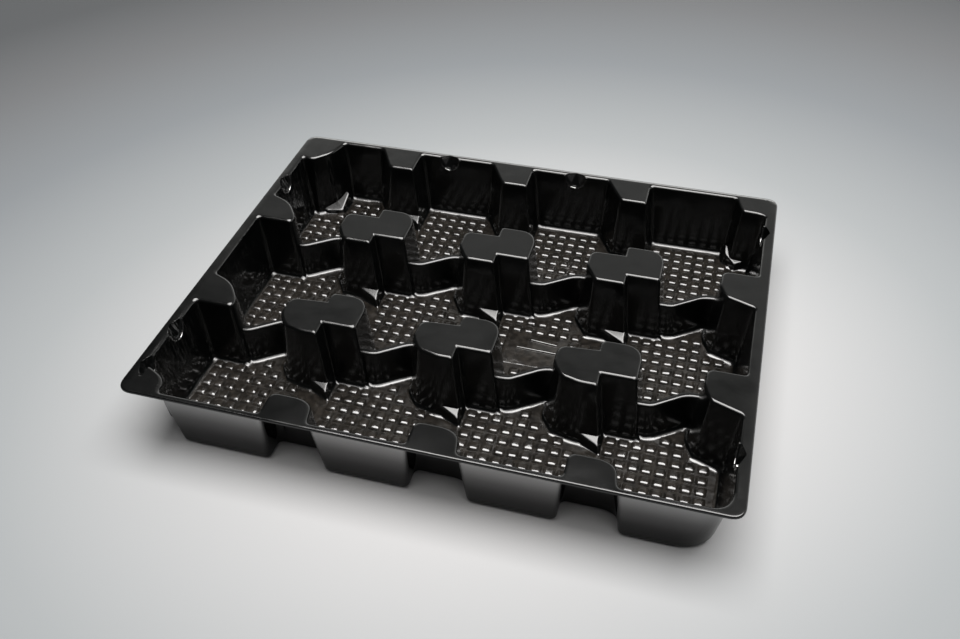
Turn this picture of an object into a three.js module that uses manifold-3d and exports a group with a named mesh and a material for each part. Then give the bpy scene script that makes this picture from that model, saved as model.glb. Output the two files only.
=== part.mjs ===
// One-piece formed tray with twelve open compartments, in millimetres, Z up, feet on the plane Z = 0.
import * as THREE from "three";
import { mergeVertices } from "three/addons/utils/BufferGeometryUtils.js";
import Module from "manifold-3d";

const wasm = await Module();
wasm.setup();

// Overall sheet.
const length = 400;
const width = 320;
const height = 55;
const sheet = 0.8;
const flangeWidth = 8;
const flangeCorner = 10;
const frontFlange = 4.6;
const lipDrop = 2;

// Walls lean outwards towards the rim by this much over the full depth, along X and along Y.
// The front wall leans further, up to a narrower flange.
const leanX = 4.7;
const leanY = 3.1;
const frontLean = 6.5;
const topRound = 2.2;
const footRound = 4;
const basinCorner = 8;
const wideCorner = 15;
const wideCornerFoot = 27;
const clear = 2;

// Pitch of the posts, and where the inner corner of the first post's step stands.
const pitchX = 97.5;
const pitchY = 102.8;
const stepX = -94.75;
const stepY = 35.8;

// The low walls between the rows, and the small steps at the feet of the posts.
const ridgeTop = 29.5;
const ridgeRound = 2;
const blockTop = 13;
const blockRound = 1.5;

// Corners of a plan outline: x, y, corner radius, points on the corner.
const postPlan = [
  [0, 0, 0, 1], [24, 0, 3, 3], [24, 34, 18, 5], [-5, 34, 2, 2], [-5, 23, 0, 1],
  [-30.5, 22.5, 5, 3], [-30.5, 4, 4, 2], [-22, -10, 3, 2], [0, -10, 1.5, 2],
];
const frontPostPlan = [
  [0, 0, 0, 1], [24, 0, 3, 3], [24, 32, 18, 5], [-5, 32, 4, 2], [-5, 22, 0, 1],
  [-32, 20, 6, 3], [-32, 2, 4, 2], [-25, -8, 3, 2], [-12, -11.5, 4, 2], [0, -11.5, 1.5, 2],
];
const backHalfPlan = [
  [-38, 19.9, 0, 1], [-20.5, -11, 3, 2], [0, -11, 1.5, 2], [0, 19.9, 0, 1],
];
const frontHalfPlan = [
  [27.4, 9.3, 0, 1], [23, 33.5, 13, 4], [-6, 33.5, 5, 3], [-6, 9.3, 0, 1],
];
const leftHalfPlan = [
  [-6.2, 0, 0, 1], [28, 0, 2.5, 2], [29, 8, 6, 2], [17, 25, 9, 2], [-6.2, 34, 0, 1],
];
const rightHalfPlan = [
  [0.7, -15.8, 0, 1], [0.7, 22.5, 0, 1], [-31.5, 22.5, 5, 3], [-31.5, 4, 5, 2], [-26.5, -6, 2, 2],
];
const ridgePlan = [
  [10, 2.6, 0, 1], [35, 3, 4, 2], [57, 19, 6, 2], [80, 19, 0, 1],
  [80, 24.2, 0, 1], [55.5, 24.2, 6, 2], [33.5, 8, 4, 2], [10, 7.8, 0, 1],
];
const blockPlan = [
  [-15, -4, 0, 1], [-15, -11.5, 1.5, 2], [5, -21, 1.5, 2], [4, -4, 0, 1],
];
const cornerBackRight = [
  [166.5, 158.5, 0, 1], [174, 135.8, 3, 2], [187.5, 134.8, 3, 2], [198.5, 128, 0, 1], [198.5, 158.5, 0, 1],
];
const cornerBackLeft = [
  [-198.5, 158.5, 0, 1], [-198.5, 125.5, 0, 1], [-182.5, 122.5, 4, 3], [-171, 134, 5, 2],
  [-166.5, 146, 3, 2], [-163.5, 158.5, 0, 1],
];
const cornerFrontLeft = [
  [-198.5, -160.5, 0, 1], [-170.6, -160.5, 0, 1], [-174, -143, 6, 2], [-187, -136, 5, 2], [-198.5, -134, 0, 1],
];
const cornerBlocks = [
  [
    [-186, 146, 0, 1], [-186, 130, 2, 2], [-176.5, 121, 2, 2],
    [-161.5, 123.5, 2, 2], [-161.5, 142, 1.5, 2], [-170, 146, 0, 1],
  ],
  [[165.5, 146, 0, 1], [166.5, 137.5, 2, 2], [175.2, 129.3, 1.5, 2], [184, 133, 2, 2], [186, 146, 0, 1]],
];

// Slots through the top edge of the walls: how far along the edge, and the turn from the back edge.
const slots = [
  [-70, 0], [38.5, 0], [88, 90], [-96, 90], [-134, 90], [-112, -90], [112, -90],
];
const slotHalf = 9;
const slotDepth = 11;
const slotStart = 3.6;
const slotReach = 3;

// Moves each corner of a closed outline off its two edges, by dx along X and dy along Y.
function offset(plan, dx, dy) {
  const n = plan.length;
  return plan.map(([x, y, r, k], i) => {
    const [px, py] = plan[(i + n - 1) % n];
    const [qx, qy] = plan[(i + 1) % n];
    const a = new THREE.Vector2(y - py, px - x).normalize();
    const b = new THREE.Vector2(qy - y, x - qx).normalize();
    const m = a.clone().add(b).divideScalar(1 + a.dot(b));
    return [x + m.x * dx, y + m.y * dy, r, k];
  });
}

// Plan outline with its corners rounded, always the same number of points for one plan.
function outline(plan) {
  const n = plan.length;
  const points = [];
  plan.forEach(([x, y, r, k], i) => {
    if (k === 1) return points.push([x, y]);
    const ends = [plan[(i + n - 1) % n], plan[(i + 1) % n]].map(([qx, qy]) => {
      const reach = Math.hypot(qx - x, qy - y);
      const share = Math.min(r, 0.47 * reach) / reach;
      return [x + (qx - x) * share, y + (qy - y) * share];
    });
    for (let j = 0; j < k; j++) {
      const t = j / (k - 1);
      const [a, b, c] = [(1 - t) ** 2, 2 * t * (1 - t), t ** 2];
      points.push([
        a * ends[0][0] + b * x + c * ends[1][0],
        a * ends[0][1] + b * y + c * ends[1][1],
      ]);
    }
  });
  return points;
}

// Closed solid through outlines of equal length, from the lowest to the highest.
function loft(rings) {
  const n = rings[0].points.length;
  const position = rings.flatMap(({ points, z }) => points.flatMap(([x, y]) => [x, y, z]));
  const index = [];
  for (let k = 0; k + 1 < rings.length; k++)
    for (let i = 0; i < n; i++) {
      const j = (i + 1) % n;
      const [a, b, c, d] = [k * n + i, k * n + j, (k + 1) * n + j, (k + 1) * n + i];
      index.push(a, b, c, a, c, d);
    }
  const cap = (k) =>
    THREE.ShapeUtils.triangulateShape(rings[k].points.map(([x, y]) => new THREE.Vector2(x, y)), []);
  const last = rings.length - 1;
  cap(0).forEach(([a, b, c]) => index.push(c, b, a));
  cap(last).forEach(([a, b, c]) => index.push(last * n + a, last * n + b, last * n + c));
  const geometry = new THREE.BufferGeometry();
  geometry.setAttribute("position", new THREE.Float32BufferAttribute(position, 3));
  geometry.setIndex(index);
  return solid(geometry);
}

function solid(geometry) {
  geometry.deleteAttribute("normal");
  geometry.deleteAttribute("uv");
  const merged = mergeVertices(geometry, 1e-4);
  return new wasm.Manifold(
    new wasm.Mesh({
      numProp: 3,
      vertProperties: merged.attributes.position.array,
      triVerts: new Uint32Array(merged.index.array),
    }),
  );
}

// Profile of a raised form from its foot to its top: sideways growth and height of each ring.
// The skin is how far below the visible face the surface lies.
function raised(top, round, foot, skin) {
  const floor = sheet - skin;
  const out = foot + skin;
  const inner = round - skin;
  const bend = Math.SQRT1_2;
  const rows = [[foot, floor - clear], [foot, floor]];
  rows.push([foot - out * bend, floor + out * (1 - bend)], [-skin, floor + out], [-skin, top - round]);
  if (round > 2) rows.push([-round + inner * bend, top - round + inner * bend]);
  rows.push([-round, top - skin]);
  return rows;
}

// A raised form standing on the floor; its walls lean in towards the top.
function form(plan, at, top, round, foot, skin, open) {
  const rows = raised(top, round, foot, skin);
  if (open) rows.push([-round, top + clear]);
  const base = plan.map(([x, y, r, k]) => [x + at[0], y + at[1], r, k]);
  return loft(
    rows.map(([grow, z]) => {
      const lean = Math.min(Math.max((top - Math.max(z, sheet)) / (height - sheet), 0), 1);
      return { points: outline(offset(base, grow + leanX * lean, grow + leanY * lean)), z };
    }),
  );
}

function box(inset, corner, points) {
  const [x, y] = [length / 2 - inset, width / 2 - inset];
  return [
    [-x, -y, corner, points], [x, -y, corner, points], [x, y, corner, points], [-x, y, corner, points],
  ];
}

// The hollow of the whole tray, or the outside of its wall when the skin is the sheet.
function basin(skin) {
  const plan = box(flangeWidth, basinCorner, 4);
  const wide = (lean) => wideCorner + (wideCornerFoot - wideCorner) * lean;
  const floor = sheet - skin;
  const foot = footRound + skin;
  const edge = topRound - skin;
  const deep = height - sheet;
  const rows = [
    [skin - foot, floor],
    [skin - foot * (1 - Math.SQRT1_2), floor + foot * (1 - Math.SQRT1_2)],
    [skin, floor + foot],
    [skin, height - topRound],
    [topRound - edge * Math.SQRT1_2, height - topRound + edge * Math.SQRT1_2],
    [topRound, height - skin],
    [topRound, height + (skin > 0 ? -sheet / 2 : clear)],
  ];
  return loft(
    rows.map(([grow, z]) => {
      const lean = (height - Math.min(Math.max(z, sheet), height)) / deep;
      const front = frontFlange - width / 2 + (frontLean - leanY) * lean;
      plan[0] = [plan[0][0], front, basinCorner, 4];
      plan[1] = [plan[1][0], front, wide(lean), 6];
      return { points: outline(offset(plan, grow - leanX * lean, grow - leanY * lean)), z };
    }),
  );
}

const sites = [];
for (const column of [0, 1, 2]) {
  sites.push([postPlan, column, 0, 1], [frontPostPlan, column, 1, 1]);
  sites.push([backHalfPlan, column, -1, 1], [frontHalfPlan, column, 2, 0]);
}
for (const row of [0, 1]) sites.push([leftHalfPlan, -1, row, 0], [rightHalfPlan, 3, row, 0]);

const place = (column, row) => [stepX + column * pitchX, stepY - row * pitchY];

// Everything that stands up from the floor, as visible surface or as the hollow beneath it.
function standing(skin, open) {
  const forms = sites.map(([plan, column, row]) =>
    form(plan, place(column, row), height, topRound, footRound, skin, open));
  for (const plan of [cornerBackRight, cornerBackLeft, cornerFrontLeft])
    forms.push(form(plan, [0, 0], height, topRound, footRound, skin, open));
  for (const row of [0, 1])
    for (const column of [-1, 0, 1, 2])
      forms.push(form(ridgePlan, place(column, row), ridgeTop, ridgeRound, footRound, skin, false));
  for (const [, column, row, block] of sites)
    if (block) forms.push(form(blockPlan, place(column, row), blockTop, blockRound, 3, skin, false));
  for (const plan of cornerBlocks) forms.push(form(plan, [0, 0], blockTop, blockRound, 3, skin, false));
  return forms;
}

function joined(solids) {
  return solids.reduce((whole, next) => whole.add(next));
}

// Slot that widens and deepens from near the outer edge to the wall, then runs on into the hollow.
function slot([along, turn], skin) {
  const edge = (turn ? length : width) / 2;
  const profile = [[-1, 0.3], [-1, 0], [-0.42, -0.72], [0, -1], [0.42, -0.72], [1, 0], [1, 0.3]];
  const wall = edge - flangeWidth;
  const rings = [[edge - slotStart + skin, 0.05], [wall, 1], [wall - slotReach, 1]];
  const n = profile.length;
  const position = rings.flatMap(([y, scale]) =>
    profile.flatMap(([x, z]) => [
      along + x * (slotHalf * scale + skin), y, height + z * (slotDepth * scale + skin),
    ]));
  const index = [];
  for (let i = 0; i < n; i++) {
    const j = (i + 1) % n;
    for (const k of [0, n]) index.push(k + i, k + j, k + n + j, k + i, k + n + j, k + n + i);
  }
  for (let i = 1; i + 1 < n; i++) index.push(0, i + 1, i, 2 * n, 2 * n + i, 2 * n + i + 1);
  const geometry = new THREE.BufferGeometry();
  geometry.setAttribute("position", new THREE.Float32BufferAttribute(position, 3));
  geometry.setIndex(index);
  return solid(geometry.rotateZ(THREE.MathUtils.degToRad(turn)));
}

const flange = loft([
  { points: outline(box(0, flangeCorner, 5)), z: height - sheet },
  { points: outline(box(0, flangeCorner, 5)), z: height },
]);
const lip = loft([
  { points: outline(box(0, flangeCorner, 5)), z: height - lipDrop },
  { points: outline(box(0, flangeCorner, 5)), z: height - sheet / 2 },
]).subtract(
  loft([
    { points: outline(box(sheet, flangeCorner - sheet, 5)), z: height - lipDrop - clear },
    { points: outline(box(sheet, flangeCorner - sheet, 5)), z: height },
  ]),
);

const bounds = loft([
  { points: outline(box(1, flangeCorner, 5)), z: height / 2 },
  { points: outline(box(1, flangeCorner, 5)), z: height - sheet / 2 },
]);

const outside = basin(sheet).subtract(joined(standing(sheet, false)));
const hollow = basin(0).subtract(joined(standing(0, true)));
const solidTray = flange.add(lip).add(outside);
const tray = slots
  .reduce((whole, at) => whole.add(slot(at, sheet).intersect(bounds)), solidTray)
  .subtract(hollow)
  .subtract(joined(slots.map((at) => slot(at, 0))));

const out = tray.getMesh();
const geometry = new THREE.BufferGeometry();
geometry.setAttribute("position", new THREE.BufferAttribute(out.vertProperties, 3));
geometry.setIndex(new THREE.BufferAttribute(out.triVerts, 1));
geometry.computeVertexNormals();
const mesh = new THREE.Mesh(
  geometry,
  new THREE.MeshStandardMaterial({ color: 0x101113, roughness: 0.1, metalness: 0 }),
);
mesh.name = "tray";
const group = new THREE.Group();
group.add(mesh);
export default group;
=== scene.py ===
import math
import random

import bmesh
import bpy
from mathutils import Euler, Matrix, Vector
from mathutils.bvhtree import BVHTree


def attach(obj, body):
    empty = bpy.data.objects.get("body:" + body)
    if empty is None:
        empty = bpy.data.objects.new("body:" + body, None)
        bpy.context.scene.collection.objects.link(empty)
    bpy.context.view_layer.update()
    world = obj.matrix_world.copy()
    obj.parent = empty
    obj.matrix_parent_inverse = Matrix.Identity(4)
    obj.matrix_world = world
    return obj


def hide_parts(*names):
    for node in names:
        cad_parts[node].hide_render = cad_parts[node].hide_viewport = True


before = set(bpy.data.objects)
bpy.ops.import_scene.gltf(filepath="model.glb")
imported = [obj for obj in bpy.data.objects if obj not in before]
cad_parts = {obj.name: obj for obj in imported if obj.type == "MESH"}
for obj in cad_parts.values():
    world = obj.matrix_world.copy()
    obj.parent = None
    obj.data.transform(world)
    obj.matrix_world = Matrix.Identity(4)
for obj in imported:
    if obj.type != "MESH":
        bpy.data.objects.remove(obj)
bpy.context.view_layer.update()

toMetres = 0.001       # shapes are worked out in millimetres and brought to metres when a mesh is made
finish = {"sharpAngle": 50, "weldGap": 0.004}
rounding = {"edgeShare": 0.47, "largest": 18, "stepLength": 2.5, "fewest": 3}


def addObject(name, data):
    obj = bpy.data.objects.new(name, data)
    bpy.context.scene.collection.objects.link(obj)
    return obj


def newObject(name, bm, scale=toMetres):
    bmesh.ops.scale(bm, vec=(scale, scale, scale), verts=bm.verts)
    mesh = bpy.data.meshes.new(name)
    bm.to_mesh(mesh)
    bm.free()
    return addObject(name, mesh)


def shadeSmooth(mesh, keepSharp):
    for face in mesh.polygons:
        face.use_smooth = True
    if keepSharp:
        mesh.set_sharp_from_angle(angle=math.radians(finish["sharpAngle"]))


def pullRings(bm, number, rings):
    # a face is pulled from ring to ring, and each corner keeps its number on the way
    start = bmesh.ops.create_circle(bm, cap_ends=True, segments=len(rings[0]), radius=1)["verts"]
    for i, vert in enumerate(start):
        vert[number] = i
        vert.co = rings[0][i]
    face = start[0].link_faces[0]
    for k, ring in enumerate(rings[1:]):
        pulled = bmesh.ops.extrude_face_region(bm, geom=[face])["geom"]
        if k:
            bmesh.ops.delete(bm, geom=[face], context="FACES_ONLY")
        face = [g for g in pulled if isinstance(g, bmesh.types.BMFace)][0]
        for vert in face.verts:
            vert.co = ring[vert[number]]


def loft(name, rings):
    bm = bmesh.new()
    pullRings(bm, bm.verts.layers.int.new("corner"), rings)
    bmesh.ops.recalc_face_normals(bm, faces=bm.faces)
    return newObject(name, bm, 1)


def applyModifiers(obj):
    graph = bpy.context.evaluated_depsgraph_get()
    mesh = bpy.data.meshes.new_from_object(obj.evaluated_get(graph))
    obj.modifiers.clear()
    obj.data = mesh


def combine(target, operation, tools):
    group = bpy.data.collections.new("tools")
    bpy.context.scene.collection.children.link(group)
    for tool in tools:
        group.objects.link(tool)
    step = target.modifiers.new(operation, "BOOLEAN")
    step.operation = operation
    step.solver = "MANIFOLD"
    step.operand_type = "COLLECTION"
    step.collection = group
    applyModifiers(target)
    for tool in tools:
        bpy.data.objects.remove(tool)
    bpy.data.collections.remove(group)
    return target


def rectangle(low, high, radius):
    corners = (low[0], low[1]), (high[0], low[1]), (high[0], high[1]), (low[0], high[1])
    return [(x, y, radius) for x, y in corners]


def pushOut(plan, growX, growY):
    moved = []
    for i, (x, y, radius) in enumerate(plan):
        before, after = plan[i - 1], plan[(i + 1) % len(plan)]
        a = Vector((y - before[1], before[0] - x)).normalized()
        b = Vector((after[1] - y, x - after[0])).normalized()
        m = (a + b) / (1 + a.dot(b))
        moved.append((x + m.x * growX, y + m.y * growY, radius))
    return moved


def roundedOutline(plan, z, steps=None):
    # a corner is a curve between a point on each of its two edges
    points = []
    for i, (x, y, radius) in enumerate(plan):
        middle = Vector((x, y))
        if not radius:
            points.append(middle)
            continue
        ends = []
        for other in (plan[i - 1], plan[(i + 1) % len(plan)]):
            away = Vector(other[:2]) - middle
            ends.append(middle + away.normalized() * min(radius, rounding["edgeShare"] * away.length))
        size = min(radius, rounding["largest"])
        count = steps or rounding["fewest"] + round(size / rounding["stepLength"])
        for j in range(count + 1):
            t = j / count
            points.append(ends[0] * (1 - t) ** 2 + middle * 2 * t * (1 - t) + ends[1] * t ** 2)
    return [(p.x, p.y, z) for p in points]


def quarter(steps):
    return [math.pi / 2 * k / steps for k in range(steps + 1)]


def between(value, start, over):
    return min(1, max(0, (value - start) / over))


tray = {
    "length": 400, "width": 320, "height": 55, "sheet": 0.8, "clear": 2,
    "flangeWidth": 8, "frontFlange": 4.6, "flangeCorner": 10, "leastCorner": 2,
    "lipDrop": 2, "lipRound": 1.1, "lipSteps": 4, "flatInsets": (2.2, 3.4, 4.7, 6),
    "leanX": 4.7, "leanY": 3.1, "frontLean": 6.5,      # how far a wall leans over the full depth
    "basinCorner": 8, "wideCorner": 15, "wideCornerFoot": 27, "cornerSteps": 8,
    "topRound": 2.2, "footRound": 4, "footSteps": 6, "topSteps": 5,
    "pitchX": 97.5, "pitchY": 102.8, "stepX": -94.75, "stepY": 35.8,
    "postColumns": 3, "postRows": 2, "bayColumns": 4, "bayRows": 3,
    "behindWall": 0.05,        # a half post's inner corners lie this far inside the wall that carries it
    "sag": 0.9, "sagWidth": 6, "sagStart": 12, "sagOver": 30,      # the flange dips towards its edge,
    "backSag": 2.1, "backSagStart": 12, "backSagOver": 11,         # and more along the back
}
fullForm = {"top": tray["height"], "topRound": tray["topRound"], "foot": tray["footRound"], "slope": 0}
ridgeForm = {"top": 29.5, "topRound": 2, "foot": tray["footRound"], "slope": 0}
blockForm = {"top": 13, "topRound": 1.5, "foot": 3, "slope": 0.36}

# Plans of what stands up from the floor: x, y and corner radius, from the inner corner of the post's step.
plans = {
    "post": [
        (0, 0, 1.2), (24, 0, 3), (24, 34, 18), (-5, 34, 2), (-5, 23, 1.2),
        (-30.5, 22.5, 5), (-30.5, 4, 4), (-22, -10, 3), (0, -10, 1.5),
    ],
    "frontPost": [
        (0, 0, 1.2), (24, 0, 3), (24, 32, 18), (-5, 32, 4), (-5, 22, 1.2),
        (-32, 20, 6), (-32, 2, 4), (-25, -8, 3), (-12, -11.5, 4), (0, -11.5, 1.5),
    ],
    "backHalf": [
        (-44, 19.9, 0), (-44, 13.45, 0), (-34.35, 13.45, 4), (-20.5, -11, 3),
        (0, -11, 1.5), (0, 13.45, 4), (10, 13.45, 0), (10, 19.9, 0),
    ],
    "frontHalf": [
        (36, 9.3, 0), (36, 14.35, 0), (26.48, 14.35, 4), (23, 33.5, 13),
        (-6, 33.5, 5), (-6, 14.35, 4), (-16, 14.35, 0), (-16, 9.3, 0),
    ],
    "leftHalf": [
        (-6.2, -10, 0), (0.2, -10, 0), (0.2, 0, 4), (28, 0, 2.5), (29, 8, 6),
        (17, 25, 9), (0.2, 31.52, 4), (0.2, 42, 0), (-6.2, 42, 0),
    ],
    "rightHalf": [
        (0.7, -24, 0), (0.7, 32, 0), (-5.7, 32, 0), (-5.7, 22.5, 4), (-31.5, 22.5, 5),
        (-31.5, 4, 5), (-26.5, -6, 2), (-5.7, -13.49, 4), (-5.7, -24, 0),
    ],
    "ridge": [
        (10, 2.6, 0), (35, 3, 4), (57, 19, 6), (80, 19, 0),
        (80, 24.2, 0), (55.5, 24.2, 6), (33.5, 8, 4), (10, 7.8, 0),
    ],
    "block": [(-15, -4, 0), (-15, -11.5, 1.5), (5, -21, 1.5), (4, -4, 0)],
}
# The corners and their blocks are given where they stand.
cornerPlans = [
    [
        (156, 158.5, 0), (156, 152.05, 0), (168.63, 152.05, 4), (174, 135.8, 3), (187.5, 134.8, 3),
        (192.05, 131.99, 2.5), (192.05, 122, 0), (198.5, 122, 0), (198.5, 158.5, 0),
    ],
    [
        (-198.5, 158.5, 0), (-198.5, 114, 0), (-192.05, 114, 0), (-192.05, 124.29, 4),
        (-182.5, 122.5, 4), (-171, 134, 5), (-166.5, 146, 3), (-165.05, 152.05, 3),
        (-154, 152.05, 0), (-154, 158.5, 0),
    ],
    [
        (-198.5, -160.5, 0), (-160, -160.5, 0), (-160, -155.45, 0), (-171.58, -155.45, 4),
        (-174, -143, 6), (-187, -136, 5), (-192.05, -135.12, 2.5), (-192.05, -125, 0),
        (-198.5, -125, 0),
    ],
]
cornerBlockPlans = [
    [
        (-186, 146, 0), (-186, 130, 2), (-176.5, 121, 2), (-161.5, 123.5, 2),
        (-161.5, 142, 1.5), (-170, 146, 0),
    ],
    [(165.5, 146, 0), (166.5, 137.5, 2), (175.2, 129.3, 1.5), (184, 133, 2), (186, 146, 0)],
]


def place(column, row):
    return tray["stepX"] + column * tray["pitchX"], tray["stepY"] - row * tray["pitchY"]


def leanShare(z, top):
    return min(max((top - max(z, tray["sheet"])) / (tray["height"] - tray["sheet"]), 0), 1)


def raisedProfile(kind, skin):
    top, topRound, foot = kind["top"], kind["topRound"], kind["foot"]
    floor = tray["sheet"] - skin
    out, inner = foot + skin, topRound - skin
    rows = [(foot, floor - tray["clear"])]
    rows += [
        (foot - out * math.sin(t), floor + out * (1 - math.cos(t)))
        for t in quarter(tray["footSteps"])
    ]
    rows += [
        (-topRound + inner * math.cos(t), top - topRound + inner * math.sin(t))
        for t in quarter(tray["topSteps"])
    ]
    return rows


def form(name, plan, at, kind, skin, openTop=False):
    top = kind["top"]
    rows = raisedProfile(kind, skin)
    if openTop:
        rows.append((-kind["topRound"], top + tray["clear"]))
    base = [(x + at[0], y + at[1], radius) for x, y, radius in plan]
    back = max(y for x, y, radius in base)
    # what stands in the front wall follows that wall's greater lean
    frontWall = tray["frontFlange"] - tray["width"] / 2 - tray["behindWall"]
    slide = tray["frontLean"] - tray["leanY"]
    rings = []
    for grow, z in rows:
        lean = leanShare(z, top)
        slid = []
        for x, y, radius in base:
            onFrontWall = abs(y - frontWall) < tray["behindWall"]
            slid.append((x, y + slide * lean if onFrontWall else y, radius))
        pushed = pushOut(slid, grow + tray["leanX"] * lean, grow + tray["leanY"] * lean)
        drop = kind["slope"] * max(z, 0) / top
        rings.append([(x, y, z - drop * max(0, back - y)) for x, y, h in roundedOutline(pushed, z)])
    return loft(name, rings)


def edgeBox(inset, radius):
    x, y = tray["length"] / 2 - inset, tray["width"] / 2 - inset
    return rectangle((-x, -y), (x, y), radius)


def basin(name, skin):
    plan = edgeBox(tray["flangeWidth"], tray["basinCorner"])
    height, topRound = tray["height"], tray["topRound"]
    floor = tray["sheet"] - skin
    foot, edge = tray["footRound"] + skin, topRound - skin
    rows = [
        (skin - foot + foot * math.sin(t), floor + foot * (1 - math.cos(t)))
        for t in quarter(tray["footSteps"])
    ]
    rows += [
        (topRound - edge * math.cos(t), height - topRound + edge * math.sin(t))
        for t in quarter(tray["topSteps"])
    ]
    rows.append((topRound, height + (-tray["sheet"] / 2 if skin else tray["clear"])))
    rings = []
    for grow, z in rows:
        lean = leanShare(z, height)
        wide = tray["wideCorner"] + (tray["wideCornerFoot"] - tray["wideCorner"]) * lean
        front = tray["frontFlange"] - tray["width"] / 2 + (tray["frontLean"] - tray["leanY"]) * lean
        plan[0] = (plan[0][0], front, tray["basinCorner"])
        plan[1] = (plan[1][0], front, wide)
        moved = pushOut(plan, grow - tray["leanX"] * lean, grow - tray["leanY"] * lean)
        rings.append(roundedOutline(moved, z, tray["cornerSteps"]))
    return loft(name, rings)


def standing(skin, openTop):
    columns, rows = range(tray["postColumns"]), range(tray["postRows"])
    sites = []
    for column in columns:
        sites += [("post", column, 0), ("frontPost", column, 1)]
        sites += [("backHalf", column, -1), ("frontHalf", column, tray["postRows"])]
    for row in rows:
        sites += [("leftHalf", -1, row), ("rightHalf", tray["postColumns"], row)]
    forms = [form(plan, plans[plan], place(*spot), fullForm, skin, openTop) for plan, *spot in sites]
    forms += [form("corner", plan, (0, 0), fullForm, skin, openTop) for plan in cornerPlans]
    for row in rows:
        for column in (-1, *columns):
            forms.append(form("ridge", plans["ridge"], place(column, row), ridgeForm, skin))
    for column in columns:
        for row in (-1, *rows):
            forms.append(form("block", plans["block"], place(column, row), blockForm, skin))
    forms += [form("cornerBlock", plan, (0, 0), blockForm, skin) for plan in cornerBlockPlans]
    return forms


notch = {
    "half": 9, "depth": 11, "start": 3.6, "reach": 3, "pocketInset": 1,
    "tip": 0.05, "narrow": 0.9, "flare": 1.8, "flareAhead": 0.6, "flareEnd": 1.05, "flareSteps": 5,
    "middleShare": 0.5,        # the flare opens to the side in full from here outwards
    # the left half of its section, as shares of the half width and of the depth
    "section": [
        (-1.1, 0.2), (-1.1, 0), (-1.03, -0.015), (-0.985, -0.05), (-0.94, -0.12),
        (-0.72, -0.43), (-0.42, -0.76), (-0.16, -0.96),
    ],
    # how far along the edge, and the turn from the back edge in degrees
    "places": [(-70, 0), (38.5, 0), (88, 90), (-96, 90), (-134, 90), (-112, -90), (112, -90)],
}


def notchSide(turn):
    edge = (tray["length"] if turn else tray["width"]) / 2
    lean = (tray["leanX"] if turn else tray["leanY"]) / tray["height"]
    return edge, lean, Matrix.Rotation(math.radians(turn), 3, "Z")


def notchForm(along, turn, skin):
    # a scoop with rounded shoulders that flares out where it runs into the wall
    edge, lean, turned = notchSide(turn)
    wall, flare, narrow = edge - tray["flangeWidth"], notch["flare"], notch["narrow"]
    section = notch["section"] + [(-x, z) for x, z in reversed(notch["section"])]
    stations = [(edge - notch["start"] + skin, notch["tip"], 0)]
    stations.append((wall + flare * notch["flareAhead"], narrow, 0))
    for t in quarter(notch["flareSteps"])[1:]:
        y = wall + flare * (notch["flareAhead"] - math.sin(t))
        stations.append((y, narrow + (1 - narrow) * math.sin(t), flare * (1 - math.cos(t))))
    stations.append((wall - notch["reach"], 1, flare * notch["flareEnd"]))
    rings = []
    for y, scale, grow in stations:
        ring = []
        for x, z in section:
            side = max(-1, min(1, x / notch["middleShare"]))
            down = min(0, z * (notch["depth"] * scale + skin) + grow * z)
            height = tray["height"] + (down if z <= 0 else z * notch["depth"])
            across = along + x * (notch["half"] * scale + skin) + side * grow
            ring.append(turned @ Vector((across, y + down * lean, height)))
        rings.append(ring)
    return loft("notch", rings)


def drooped(inset, z):
    # the narrow front flange stays flat
    radius = max(tray["flangeCorner"] - inset, tray["leastCorner"])
    share = max(0, 1 - inset / tray["sagWidth"]) ** 2
    back = tray["width"] / 2
    sagged = []
    for x, y, h in roundedOutline(edgeBox(inset, radius), z, tray["cornerSteps"]):
        sides = tray["sag"] * between(y, tray["sagStart"] - back, tray["sagOver"])
        extra = tray["backSag"] - tray["sag"]
        extra *= between(y, back - tray["backSagStart"], tray["backSagOver"])
        sagged.append((x, y, h - share * (sides + extra)))
    return sagged


def lipRings(skin, low, steps):
    inner, middle = tray["lipRound"] - skin, tray["height"] - tray["lipRound"]
    rows = [(skin, low), (skin, middle)]
    rows += [
        (tray["lipRound"] - inner * math.cos(t), middle + inner * math.sin(t))
        for t in quarter(steps)[1:]
    ]
    rows += [(inset, tray["height"] - skin) for inset in tray["flatInsets"]]
    return [drooped(inset, z) for inset, z in rows]


def buildTray():
    height, sheet, places = tray["height"], tray["sheet"], notch["places"]
    lipFoot = height - tray["lipDrop"]
    rim = loft("formedTray", lipRings(0, lipFoot, tray["lipSteps"]))
    under = loft("under", lipRings(sheet, lipFoot - tray["clear"], tray["lipSteps"] // 2))
    combine(rim, "DIFFERENCE", [under])
    outside = combine(basin("outside", sheet), "DIFFERENCE", standing(sheet, False))
    hollow = combine(basin("hollow", 0), "DIFFERENCE", standing(0, True))
    print("basin carved")
    inside = edgeBox(notch["pocketInset"], tray["flangeCorner"])
    limits = [roundedOutline(inside, z, tray["cornerSteps"]) for z in (height / 2, height - sheet / 2)]
    pockets = [combine(notchForm(*at, sheet), "INTERSECT", [loft("limits", limits)]) for at in places]
    combine(rim, "UNION", [outside] + pockets)
    combine(rim, "DIFFERENCE", [hollow])
    combine(rim, "DIFFERENCE", [notchForm(*at, 0) for at in places])
    return rim


def cleanTray(obj):
    bm = bmesh.new()
    bm.from_mesh(obj.data)
    bmesh.ops.remove_doubles(bm, verts=bm.verts, dist=finish["weldGap"])
    bmesh.ops.dissolve_degenerate(bm, edges=bm.edges, dist=finish["weldGap"])
    bmesh.ops.scale(bm, vec=[toMetres] * 3, verts=bm.verts)
    bm.to_mesh(obj.data)
    surface = BVHTree.FromBMesh(bm)
    openEdges = sum(1 for edge in bm.edges if not edge.is_manifold)
    print("tray faces", len(bm.faces), "open edges", openEdges)
    bm.free()
    shadeSmooth(obj.data, True)
    even = obj.modifiers.new("evenShading", "WEIGHTED_NORMAL")
    even.keep_sharp = True
    return surface


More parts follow.
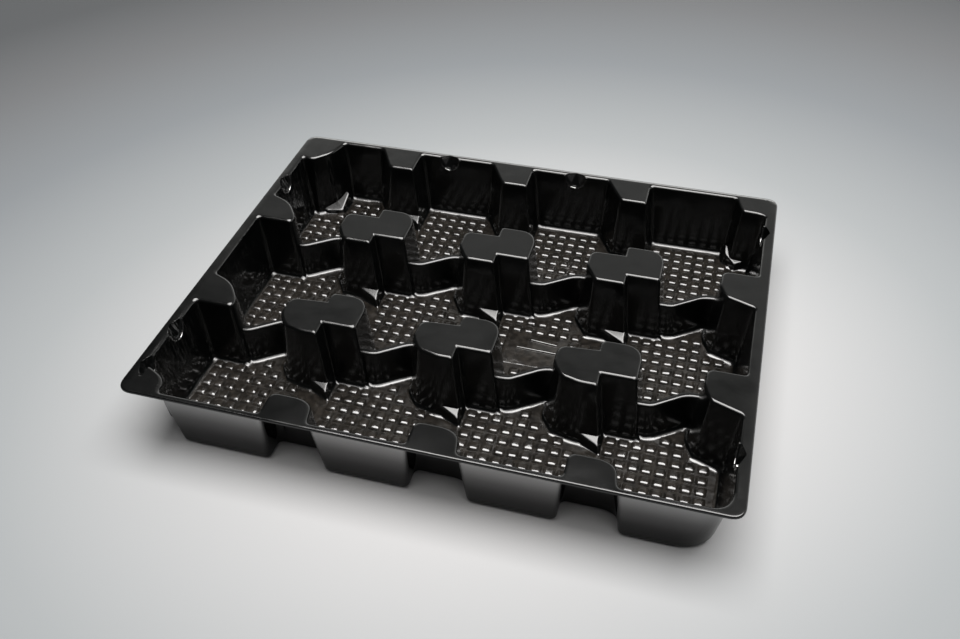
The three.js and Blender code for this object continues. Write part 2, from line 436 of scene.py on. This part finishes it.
trayObject = buildTray()
traySurface = cleanTray(trayObject)

plate = {
    "low": (18.5, -20), "high": (60, 16), "corner": 3, "cornerSteps": 3, "rise": 0.35, "sunk": 0.2,
    "bevelFrom": 0.6, "bevelIn": 0.6,
    "ribs": [((27.4, -2.4), (58.9, -3.0)), ((35.7, 7.6), (57.8, 5.5))],
    "ribHalf": 1.0, "ribRise": 1.0, "ribCorner": 0.9,
    "ribEdge": [(0.7, 0.1), (0.25, 0.3), (0, 0.65)],       # below the rib's top, and inwards
}


def insidePlate(spot):
    return all(low < v < high for low, v, high in zip(plate["low"], spot, plate["high"]))


def buildPlate():
    # a smooth plate in place of the studs, with two low ribs
    sheet, face = tray["sheet"], tray["sheet"] + plate["rise"]
    box = rectangle(plate["low"], plate["high"], plate["corner"])
    bevel = sheet + plate["rise"] * plate["bevelFrom"]
    shapes = [[(box, sheet - plate["sunk"], 0), (box, bevel, 0), (box, face, -plate["bevelIn"])]]
    for start, end in plate["ribs"]:
        along = (Vector(end) - Vector(start)).normalized()
        side = Vector((-along.y, along.x)) * plate["ribHalf"]
        ends = [Vector(start) - side, Vector(end) - side, Vector(end) + side, Vector(start) + side]
        bar = [(v.x, v.y, plate["ribCorner"]) for v in ends]
        top = face + plate["ribRise"]
        edges = [(bar, top - below, -inwards) for below, inwards in plate["ribEdge"]]
        shapes.append([(bar, sheet, 0)] + edges)
    bm = bmesh.new()
    number = bm.verts.layers.int.new("corner")
    for shape in shapes:
        rings = [roundedOutline(pushOut(plan, out, out), z, plate["cornerSteps"]) for plan, z, out in shape]
        pullRings(bm, number, rings)
    bmesh.ops.recalc_face_normals(bm, faces=bm.faces)
    obj = newObject("floorPlate", bm)
    shadeSmooth(obj.data, True)
    return obj


studs = {
    "firstX": -180.5, "firstY": 139.3, "stepX": 9.0, "stepY": 9.2, "columns": 9, "rows": 9,
    "profile": [(4.2, -0.15), (3.6, 0.33), (3.25, 0.99), (2.5, 1.35), (1.4, 1.5)],   # half width, height
    "cornerShare": 0.42, "cornerSteps": 2,
    "margin": 1.3, "probes": 8, "probeFrom": 80, "flatWithin": 0.05,
    "seed": 7, "tilt": 2.2, "warpedTilt": 7, "warpedBefore": (-100, 60),
    "lowest": 0.3,             # a tilted foot stays inside the sheet
}


def onFlatFloor(x, y):
    spots = [(x, y)]
    for i in range(studs["probes"]):
        turn = math.tau * i / studs["probes"]
        spots.append((x + studs["margin"] * math.cos(turn), y + studs["margin"] * math.sin(turn)))
    for spot in spots:
        start = Vector((*spot, studs["probeFrom"])) * toMetres
        hit = traySurface.ray_cast(start, Vector((0, 0, -1)))[0]
        if hit is None or abs(hit.z - tray["sheet"] * toMetres) > studs["flatWithin"] * toMetres:
            return False
    return True


def studSpots():
    spots = []
    for column in range(tray["bayColumns"]):
        for row in range(tray["bayRows"]):
            for i in range(studs["columns"]):
                for j in range(studs["rows"]):
                    x = studs["firstX"] + column * tray["pitchX"] + i * studs["stepX"]
                    y = studs["firstY"] - row * tray["pitchY"] - j * studs["stepY"]
                    if not insidePlate((x, y)) and onFlatFloor(x, y):
                        spots.append((x, y))
    return spots


def studRings():
    rings = []
    for half, z in studs["profile"]:
        square = rectangle((-half, -half), (half, half), half * studs["cornerShare"])
        rings.append(roundedOutline(square, tray["sheet"] + z, studs["cornerSteps"]))
    return rings


def buildStuds():
    bm = bmesh.new()
    pullRings(bm, bm.verts.layers.int.new("corner"), studRings())
    bmesh.ops.recalc_face_normals(bm, faces=bm.faces)
    first = bm.verts[:] + bm.edges[:] + bm.faces[:]
    spots = studSpots()
    chance = random.Random(studs["seed"])
    for x, y in spots:
        copied = bmesh.ops.duplicate(bm, geom=first)["geom"]
        verts = [g for g in copied if isinstance(g, bmesh.types.BMVert)]
        warped = x < studs["warpedBefore"][0] and y > studs["warpedBefore"][1]
        swing = math.radians(studs["warpedTilt"] if warped else studs["tilt"])
        tilt = Euler([chance.uniform(-swing, swing) for k in range(3)]).to_matrix()
        bmesh.ops.rotate(bm, cent=(0, 0, tray["sheet"]), matrix=tilt, verts=verts)
        bmesh.ops.translate(bm, vec=(x, y, 0), verts=verts)
        for vert in verts:
            vert.co.z = max(vert.co.z, studs["lowest"])
    bmesh.ops.delete(bm, geom=first, context="VERTS")
    print("studs", len(spots), "faces", len(bm.faces))
    obj = newObject("floorStuds", bm)
    shadeSmooth(obj.data, False)
    return obj


beads = {
    "radius": 0.5, "above": 0.1, "roundness": 2,
    # the left half of the notch's mouth, as shares of its half width and depth, down to the middle
    "mouth": [(-1.0, -0.1), (-0.94, -0.3), (-0.8, -0.6), (-0.6, -0.86), (-0.32, -1.02), (0, -1.08)],
}


def buildBeads():
    # a fine raised edge runs round the mouth of each notch
    outline = beads["mouth"] + [(-x, z) for x, z in reversed(beads["mouth"][:-1])]
    curve = bpy.data.curves.new("slotBeads", "CURVE")
    curve.dimensions = "3D"
    curve.bevel_depth = beads["radius"] * toMetres
    curve.bevel_resolution = beads["roundness"]
    curve.use_fill_caps = True
    for along, turn in notch["places"]:
        edge, lean, turned = notchSide(turn)
        spline = curve.splines.new("POLY")
        spline.points.add(len(outline) - 1)
        for point, (x, z) in zip(spline.points, outline):
            down = z * notch["depth"]
            y = edge - tray["flangeWidth"] + down * lean - beads["above"]
            spot = turned @ Vector((along + x * notch["half"], y, tray["height"] + down))
            point.co = (*(spot * toMetres), 1)
    source = addObject("slotBeads", curve)
    mesh = bpy.data.meshes.new_from_object(source.evaluated_get(bpy.context.evaluated_depsgraph_get()))
    bpy.data.objects.remove(source)
    shadeSmooth(mesh, False)
    return addObject("slotBeads", mesh)


studObject = buildStuds()
plateObject = buildPlate()
beadObject = buildBeads()
print("floors and notches dressed")

grain = {
    "noiseLow": 0.3, "noiseHigh": 0.7, "cloudDetail": 3, "waveDetail": 1,
    "toneScale": 2.3, "toneDetail": 2, "darkTo": 0.35, "lightFrom": 0.7,
    "lineTilt": -24, "patchScale": 35,
}


def addNode(tree, kind, values=None):
    node = tree.nodes.new("ShaderNode" + kind)
    for socket, value in (values or {}).items():
        node.inputs[socket].default_value = value
    return node


def setStops(ramp, stops):
    while len(ramp.color_ramp.elements) < len(stops):
        ramp.color_ramp.elements.new(0.5)
    for stop, (position, tone) in zip(ramp.color_ramp.elements, stops):
        stop.position = position
        stop.color = (*tone, 1)


def plastic(name, look):
    material = bpy.data.materials.new(name)
    material.use_nodes = True
    tree = material.node_tree
    link = tree.links.new
    shader = tree.nodes["Principled BSDF"]
    shader.inputs["IOR"].default_value = look["ior"]
    shader.inputs["Specular IOR Level"].default_value = look["specular"]
    onPiece = addNode(tree, "TexCoord").outputs["Object"]

    def noise(scale, detail, where=onPiece):
        node = addNode(tree, "TexNoise", {"Scale": scale, "Detail": detail})
        link(where, node.inputs["Vector"])
        return node.outputs["Fac"]

    def ranged(value, low, high):
        limits = {"From Min": grain["noiseLow"], "From Max": grain["noiseHigh"]}
        node = addNode(tree, "MapRange", {**limits, "To Min": low, "To Max": high})
        link(value, node.inputs["Value"])
        return node.outputs["Result"]

    def streaks(stretch):
        # fine drawn lines, in patches
        tilt = (math.radians(grain["lineTilt"]), 0, 0)
        squeeze = addNode(tree, "Mapping", {"Rotation": tilt, "Scale": stretch})
        link(onPiece, squeeze.inputs["Vector"])
        patch = addNode(tree, "Math")
        patch.operation = "MULTIPLY"
        link(ranged(noise(1, grain["waveDetail"], squeeze.outputs["Vector"]), 0, 1), patch.inputs[0])
        link(ranged(noise(grain["patchScale"], 0), 0, 1), patch.inputs[1])
        return patch.outputs["Value"]

    if "paintedFootShade" in look:
        # painted shade: the reflection of the lower part of the outer walls is tinted darker towards the
        # foot, where they would mirror the floor in the tray's shadow, so they give back less light
        split = addNode(tree, "SeparateXYZ")
        link(onPiece, split.inputs["Vector"])
        paintedShadeRamp = addNode(tree, "ValToRGB")
        setStops(paintedShadeRamp, [(height, (level, level, level)) for height, level in look["paintedFootShade"]])
        link(split.outputs["Z"], paintedShadeRamp.inputs["Fac"])
        link(paintedShadeRamp.outputs["Color"], shader.inputs["Specular Tint"])
    cloud = noise(look["cloudScale"], grain["cloudDetail"])
    link(ranged(cloud, *look["roughness"]), shader.inputs["Roughness"])
    ramp = addNode(tree, "ValToRGB")
    setStops(ramp, [(grain["darkTo"], look["dark"]), (grain["lightFrom"], look["light"])])
    link(noise(look["cloudScale"] * grain["toneScale"], grain["toneDetail"]), ramp.inputs["Fac"])
    link(ramp.outputs["Color"], shader.inputs["Base Color"])
    normal = None
    for scale, depth in look["waves"]:
        bump = addNode(tree, "Bump", {"Distance": depth})
        height = streaks(scale) if isinstance(scale, tuple) else noise(scale, grain["waveDetail"])
        link(height, bump.inputs["Height"])
        if normal:
            link(normal, bump.inputs["Normal"])
        normal = bump.outputs["Normal"]
    link(normal, shader.inputs["Normal"])
    return material


gloss = plastic("glossBlack", {
    "ior": 1.53, "specular": 0.4, "roughness": (0.15, 0.22), "cloudScale": 30,
    "dark": (0.0004, 0.0005, 0.0005), "light": (0.0009, 0.001, 0.001),
    "waves": [(45, 0.0005), (260, 0.00003)],
})
drawn = plastic("drawnBlack", {
    "ior": 1.53, "specular": 0.4, "roughness": (0.07, 0.13), "cloudScale": 30,
    "dark": (0.0004, 0.0005, 0.0005), "light": (0.0009, 0.001, 0.001),
    "waves": [(45, 0.0005), ((60, 420, 45), 0.0018)],
})
floorGloss = plastic("floorBlack", {
    "ior": 1.53, "specular": 0.58, "roughness": (0.1, 0.2), "cloudScale": 90,
    "dark": (0.004, 0.0035, 0.003), "light": (0.011, 0.0095, 0.008),
    "waves": [(120, 0.0005), (600, 0.00004)],
})
satin = plastic("undersideBlack", {
    "ior": 2.05, "specular": 1.0, "roughness": (0.1, 0.16), "cloudScale": 30,
    # painted shade: the specular tint falls from full at the rim to almost nothing at the foot of the outer
    # walls
    "paintedFootShade": [(0.0, 0.06), (0.018, 0.1), (0.032, 0.38), (0.046, 1.0)],
    "dark": (0.001, 0.001, 0.0011), "light": (0.002, 0.002, 0.0021),
    "waves": [(45, 0.0004), (400, 0.00003)],
})

# Where each finish lies on the tray, in metres and by how far a face looks up or along X.
areas = {
    "floorBelow": 0.003, "floorUp": 0.9, "under": -0.005,
    "rimAbove": 0.05, "rimBehind": 0.1545, "rimUp": 0.2, "leftBefore": -0.17, "leftAlong": 0.7,
}


def paintTray(mesh):
    mesh.materials.clear()
    for material in (gloss, floorGloss, satin, drawn):
        mesh.materials.append(material)
    for face in mesh.polygons:
        centre, normal = face.center, face.normal
        onRim = centre.z > areas["rimAbove"] and normal.z > areas["rimUp"]
        backRim = onRim and centre.y > areas["rimBehind"]
        if centre.z < areas["floorBelow"] and normal.z > areas["floorUp"]:
            face.material_index = 1
        elif normal.z < areas["under"] or backRim:
            face.material_index = 2
        elif centre.x < areas["leftBefore"] and normal.x > areas["leftAlong"]:
            face.material_index = 3


paintTray(trayObject.data)
studObject.data.materials.append(floorGloss)
plateObject.data.materials.append(floorGloss)
beadObject.data.materials.append(satin)
print("plastic done")

view = {
    "place": (0.15528, -0.51323, 0.50604), "turn": (0.83449018, 0.02039057, 0.27658415),
    "lens": 36.5456, "sensor": 36, "nearest": 0.01,
}


def addCamera():
    camera = addObject("camera", bpy.data.cameras.new("camera"))
    camera.location = view["place"]
    camera.rotation_euler = view["turn"]
    camera.data.lens = view["lens"]
    camera.data.sensor_width = view["sensor"]
    camera.data.sensor_fit = "HORIZONTAL"
    camera.data.clip_start = view["nearest"]
    bpy.context.scene.camera = camera


backdrop = {
    "size": 3000, "segments": 8, "roughness": 0.85, "specular": 0.2,
    "centre": (0.0166, -0.0184), "reach": (0.7627, 0.8752), "turn": -1.0605,
    # painted light: its tone from far out to the centre, a pool of light painted on the floor in place of
    # the softboxes' falloff
    "paintedLightPool": [
        (0, (0.033, 0.035, 0.037)), (0.2, (0.056, 0.058, 0.061)), (0.4, (0.08, 0.086, 0.092)),
        (0.6, (0.126, 0.133, 0.137)), (0.8, (0.205, 0.205, 0.207)), (1, (0.212, 0.212, 0.212)),
    ],
}


def buildFloor():
    bm = bmesh.new()
    segments = backdrop["segments"]
    bmesh.ops.create_grid(bm, x_segments=segments, y_segments=segments, size=backdrop["size"])
    floor = newObject("floor", bm)
    material = bpy.data.materials.new("paleFloor")
    material.use_nodes = True
    tree = material.node_tree
    shader = tree.nodes["Principled BSDF"]
    shader.inputs["Roughness"].default_value = backdrop["roughness"]
    shader.inputs["Specular IOR Level"].default_value = backdrop["specular"]
    mapping = addNode(tree, "Mapping")
    mapping.vector_type = "TEXTURE"
    mapping.inputs["Location"].default_value = (*backdrop["centre"], 0)
    mapping.inputs["Rotation"].default_value = (0, 0, backdrop["turn"])
    mapping.inputs["Scale"].default_value = (*backdrop["reach"], 1)
    tree.links.new(addNode(tree, "TexCoord").outputs["Object"], mapping.inputs["Vector"])
    # painted light: a spherical gradient makes the floor's colour brighter towards the centre and darker
    # far out
    paintedLightPool = addNode(tree, "TexGradient")
    paintedLightPool.gradient_type = "SPHERICAL"
    tree.links.new(mapping.outputs["Vector"], paintedLightPool.inputs["Vector"])
    ramp = addNode(tree, "ValToRGB")
    setStops(ramp, backdrop["paintedLightPool"])
    tree.links.new(paintedLightPool.outputs["Fac"], ramp.inputs["Fac"])
    tree.links.new(ramp.outputs["Color"], shader.inputs["Base Color"])
    floor.data.materials.append(material)
    return floor


# A pale backdrop low at the back, a dark gap above it, and dim sides.
studio = {
    "towards": (0.35, 0.93, 0.0), "start": 0.28, "full": 0.62, "strength": 2.4, "sides": 0.02,
    "climb": [(0.0, 0.9), (0.3, 0.5), (0.55, 0.18), (0.65, 0.28), (0.7, 0.15), (0.77, 0.03)],
    "blueShare": 0.97,
}


def lightStudio():
    world = bpy.data.worlds.new("studio")
    bpy.context.scene.world = world
    world.use_nodes = True
    tree = world.node_tree
    sky = addNode(tree, "TexCoord").outputs["Generated"]
    facing = addNode(tree, "VectorMath")
    facing.operation = "DOT_PRODUCT"
    facing.inputs[1].default_value = studio["towards"]
    tree.links.new(sky, facing.inputs[0])
    sides = addNode(tree, "MapRange", {"From Min": studio["start"], "From Max": studio["full"]})
    sides.interpolation_type = "SMOOTHSTEP"
    tree.links.new(facing.outputs["Value"], sides.inputs["Value"])
    split = addNode(tree, "SeparateXYZ")
    tree.links.new(sky, split.inputs["Vector"])
    climb = addNode(tree, "ValToRGB")
    blue = studio["blueShare"]
    setStops(climb, [(height, (level, level, level * blue)) for height, level in studio["climb"]])
    tree.links.new(split.outputs["Z"], climb.inputs["Fac"])
    blend = addNode(tree, "Mix")
    blend.data_type = "RGBA"
    blend.inputs["A"].default_value = (*[studio["sides"]] * 3, 1)
    tree.links.new(sides.outputs["Result"], blend.inputs["Factor"])
    tree.links.new(climb.outputs["Color"], blend.inputs["B"])
    tree.links.new(blend.outputs["Result"], tree.nodes["Background"].inputs["Color"])
    tree.nodes["Background"].inputs["Strength"].default_value = studio["strength"]


softboxes = {
    "overhead": {"position": (0.45, 0.3, 3.0), "size": (3.2, 2.1), "watts": 377},
    "frontFill": {"position": (0.3, -1.35, 3.0), "size": (3.2, 1.2), "watts": 84},
}
softboxColour = (1, 0.985, 0.965)
nearlyDown = 0.001         # the softboxes look down, this much off plumb, so that their turn is certain


def addSoftbox(name, position, size, watts):
    light = bpy.data.lights.new(name, "AREA")
    light.shape = "RECTANGLE"
    light.size, light.size_y = size
    light.energy = watts
    light.color = softboxColour
    box = addObject(name, light)
    box.location = position
    box.rotation_euler = Vector((0, nearlyDown, -position[2])).to_track_quat("-Z", "Y").to_euler()


addCamera()
buildFloor()
lightStudio()
for name, settings in softboxes.items():
    addSoftbox(name, **settings)
bpy.context.scene.view_settings.view_transform = "Standard"
print("floor and lights done")

for piece in (trayObject, studObject, plateObject, beadObject):
    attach(piece, "root")
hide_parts("tray")

print("pieces done")
